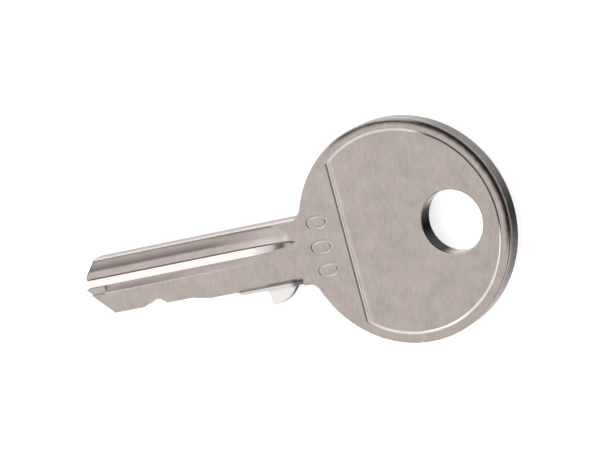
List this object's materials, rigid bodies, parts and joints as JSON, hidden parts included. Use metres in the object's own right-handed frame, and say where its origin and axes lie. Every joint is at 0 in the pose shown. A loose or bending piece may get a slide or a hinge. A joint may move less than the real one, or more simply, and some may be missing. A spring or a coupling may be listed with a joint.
{
  "type": "flat cylinder-lock key",
  "caption": "Flat metal key with a round coined bow, a ring hole, a stop lug, and a milled and bitted blade that turns a cylinder lock.",
  "frame": {"origin": "centre of the ring hole, in the plane of the key's back face", "axes": "+X from the tip to the bow along the key, +Y from the cut edge to the spine, +Z out of the milled front face"},
  "size_m": [0.0492, 0.023, 0.0023],
  "materials": {
    "nickel_silver": "tumbled, with a fine satin grain on the flat faces and brighter milled grooves"
  },
  "bodies": {
    "root": {"key": "nickel_silver"}
  },
  "joints": []
}
